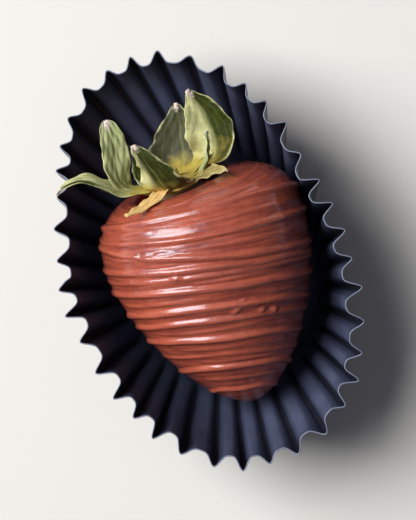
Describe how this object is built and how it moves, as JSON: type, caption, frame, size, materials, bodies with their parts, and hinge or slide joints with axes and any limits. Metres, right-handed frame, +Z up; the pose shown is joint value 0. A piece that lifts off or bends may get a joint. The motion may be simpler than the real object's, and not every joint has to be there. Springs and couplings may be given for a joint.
{
  "type": "chocolate coated strawberry",
  "caption": "Strawberry dipped in milk chocolate with drizzled threads, lying on its side in an oval fluted paper case, leaves left bare.",
  "frame": {"origin": "on the paper case's flat bottom, 1.7 mm from its centre, under the middle of the berry, on the surface it stands on", "axes": "+Z up; +Y along the case's longer way, towards the strawberry's leaves; +X to the right when the leaves point away"},
  "size_m": [0.0619, 0.0844, 0.0398],
  "materials": {
    "case_paper": "waxed black paper with a faint blue cast, satin, pressed into flutes",
    "milk_chocolate": "set milk chocolate, satin gloss, slightly rippled",
    "strawberry_flesh": "moist red strawberry skin, paler at the stem end",
    "strawberry_leaf": "soft green leaf, veined, paler at the edge and underneath"
  },
  "bodies": {
    "root": {"paper_case": "case_paper", "chocolate_coat": "milk_chocolate", "strawberry": "strawberry_flesh", "calyx": "strawberry_leaf"}
  },
  "joints": []
}
